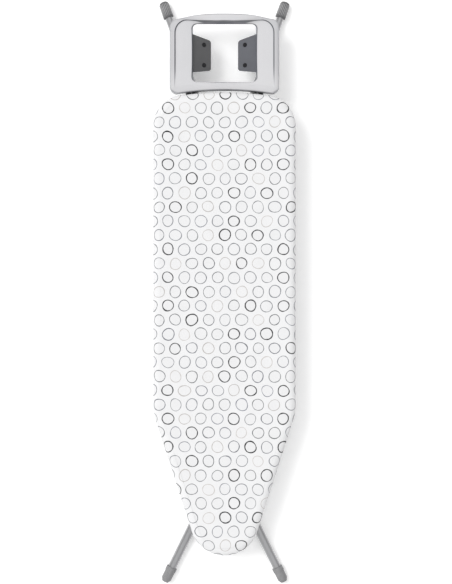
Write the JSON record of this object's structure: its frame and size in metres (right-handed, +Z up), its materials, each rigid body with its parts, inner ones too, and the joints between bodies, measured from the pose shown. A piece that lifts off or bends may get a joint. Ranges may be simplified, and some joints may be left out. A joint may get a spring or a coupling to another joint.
{
  "type": "ironing board",
  "caption": "Folding ironing board lying folded flat: tapered padded top with a fabric cover, scissor tube legs, and a sliding iron rest at the wide end.",
  "frame": {"origin": "on the floor under the middle of the folded board, which lies on its four feet", "axes": "+Y from the nose to the iron rest, along the length; +Z up, out of the ironing surface; +X to the lever's side"},
  "size_m": [0.34, 1.4142, 0.0967],
  "materials": {
    "cotton": "printed cotton, matte",
    "felt": "foam and felt, matte",
    "grey_enamel": "silver grey powder paint, satin",
    "zinc": "zinc plated, satin",
    "silver_plastic": "silver grey moulded plastic, satin",
    "black_plastic": "black moulded plastic",
    "graphite_silicone": "dark grey heat-proof silicone",
    "grey_rubber": "mid grey rubber"
  },
  "bodies": {
    "board": {"cover": "cotton", "foam_pad": "felt", "mesh_top": "grey_enamel", "rim_channel": "grey_enamel", "heel_plate": "grey_enamel", "crossbar_middle": "grey_enamel", "crossbar_rack_nose": "grey_enamel", "crossbar_rack_heel": "grey_enamel", "axle_bracket_left": "grey_enamel", "axle_bracket_right": "grey_enamel", "axle_rod": "zinc", "axle_cap_left": "black_plastic", "axle_cap_right": "black_plastic", "rack_rail_left": "grey_enamel", "rack_rail_right": "grey_enamel", "catch_hinge_rod": "zinc", "catch_spring": "zinc", "rest_guide_left": "black_plastic", "rest_guide_right": "black_plastic", "guide_screw_left": "zinc", "guide_screw_right": "zinc"},
    "front_legs": {"front_axle_tube": "grey_enamel", "front_leg_left": "grey_enamel", "front_leg_right": "grey_enamel", "front_leg_tie": "grey_enamel", "front_foot_left": "grey_rubber", "front_foot_right": "grey_rubber", "pivot_bolt": "zinc", "pivot_nut": "zinc"},
    "rear_legs": {"rear_leg_left": "grey_enamel", "rear_leg_right": "grey_enamel", "rear_leg_tie": "grey_enamel", "rear_foot_left": "grey_rubber", "rear_foot_right": "grey_rubber", "slide_rod": "zinc", "slide_bush_left": "black_plastic", "slide_bush_right": "black_plastic", "slide_clip_left": "zinc", "slide_clip_right": "zinc", "pivot_spacer_centre": "black_plastic", "pivot_spacer_left": "black_plastic", "pivot_spacer_right": "black_plastic"},
    "catch": {"catch_plate": "zinc", "lever_arm": "zinc", "lever_grip": "black_plastic"},
    "iron_rest": {"rest_tray": "silver_plastic", "rest_pad_left": "graphite_silicone", "rest_pad_right": "graphite_silicone", "pad_stud_left_1": "black_plastic", "pad_stud_left_2": "black_plastic", "pad_stud_right_1": "black_plastic", "pad_stud_right_2": "black_plastic", "rest_rod_left": "zinc", "rest_rod_right": "zinc", "rest_screw_left_1": "zinc", "rest_screw_left_2": "zinc", "rest_screw_right_1": "zinc", "rest_screw_right_2": "zinc"}
  },
  "joints": [
    {"name": "front_legs_fold", "type": "hinge", "parent": "board", "child": "front_legs", "pos_m": [0, 0.37977, 0.05017], "axis": [1, 0, 0], "range_deg": [0, 48]},
    {"name": "rear_legs_fold", "type": "hinge", "parent": "front_legs", "child": "rear_legs", "pos_m": [0, 0, 0.03691], "axis": [1, 0, 0], "range_deg": [-96, 0]},
    {"name": "catch_lift", "type": "hinge", "parent": "board", "child": "catch", "pos_m": [-0.044, -0.245, 0.07017], "axis": [0, 1, 0], "range_deg": [-2, 3]},
    {"name": "iron_rest_slide", "type": "slide", "parent": "board", "child": "iron_rest", "axis": [0, 1, 0], "range_m": [0, 0.06]}
  ],
  "couplings": [
    {"joint": "rear_legs_fold", "follows": "front_legs_fold", "ratio": -2}
  ]
}
